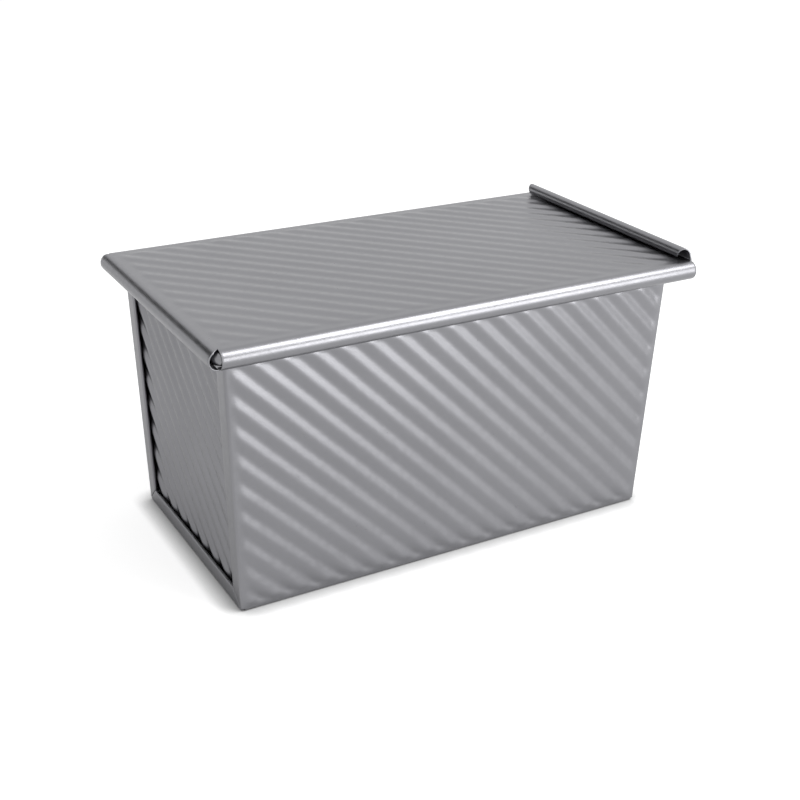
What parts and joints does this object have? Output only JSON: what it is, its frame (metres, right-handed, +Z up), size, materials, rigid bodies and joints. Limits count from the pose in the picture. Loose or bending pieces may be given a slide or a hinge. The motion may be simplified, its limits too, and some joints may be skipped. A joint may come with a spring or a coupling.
{
  "type": "loaf pan",
  "caption": "Corrugated sheet steel loaf pan with a flat lid that slides along the wired rim, for square sandwich loaves",
  "frame": {"origin": "centre of the pan's footprint on the surface it stands on", "axes": "X along the pan towards the lid's handle, Y across it towards the back, Z up"},
  "size_m": [0.2146, 0.1222, 0.1183],
  "materials": {
    "steel": "satin aluminized sheet steel",
    "wire": "plain drawn wire"
  },
  "bodies": {
    "pan": {"body_wrap": "steel", "left_end_panel": "steel", "right_end_panel": "steel", "rim_wire": "wire"},
    "lid": {"sliding_lid": "steel"}
  },
  "joints": [
    {"name": "lid_slide", "type": "slide", "parent": "pan", "child": "lid", "axis": [-1, 0, 0], "range_m": [0, 0.215]}
  ]
}
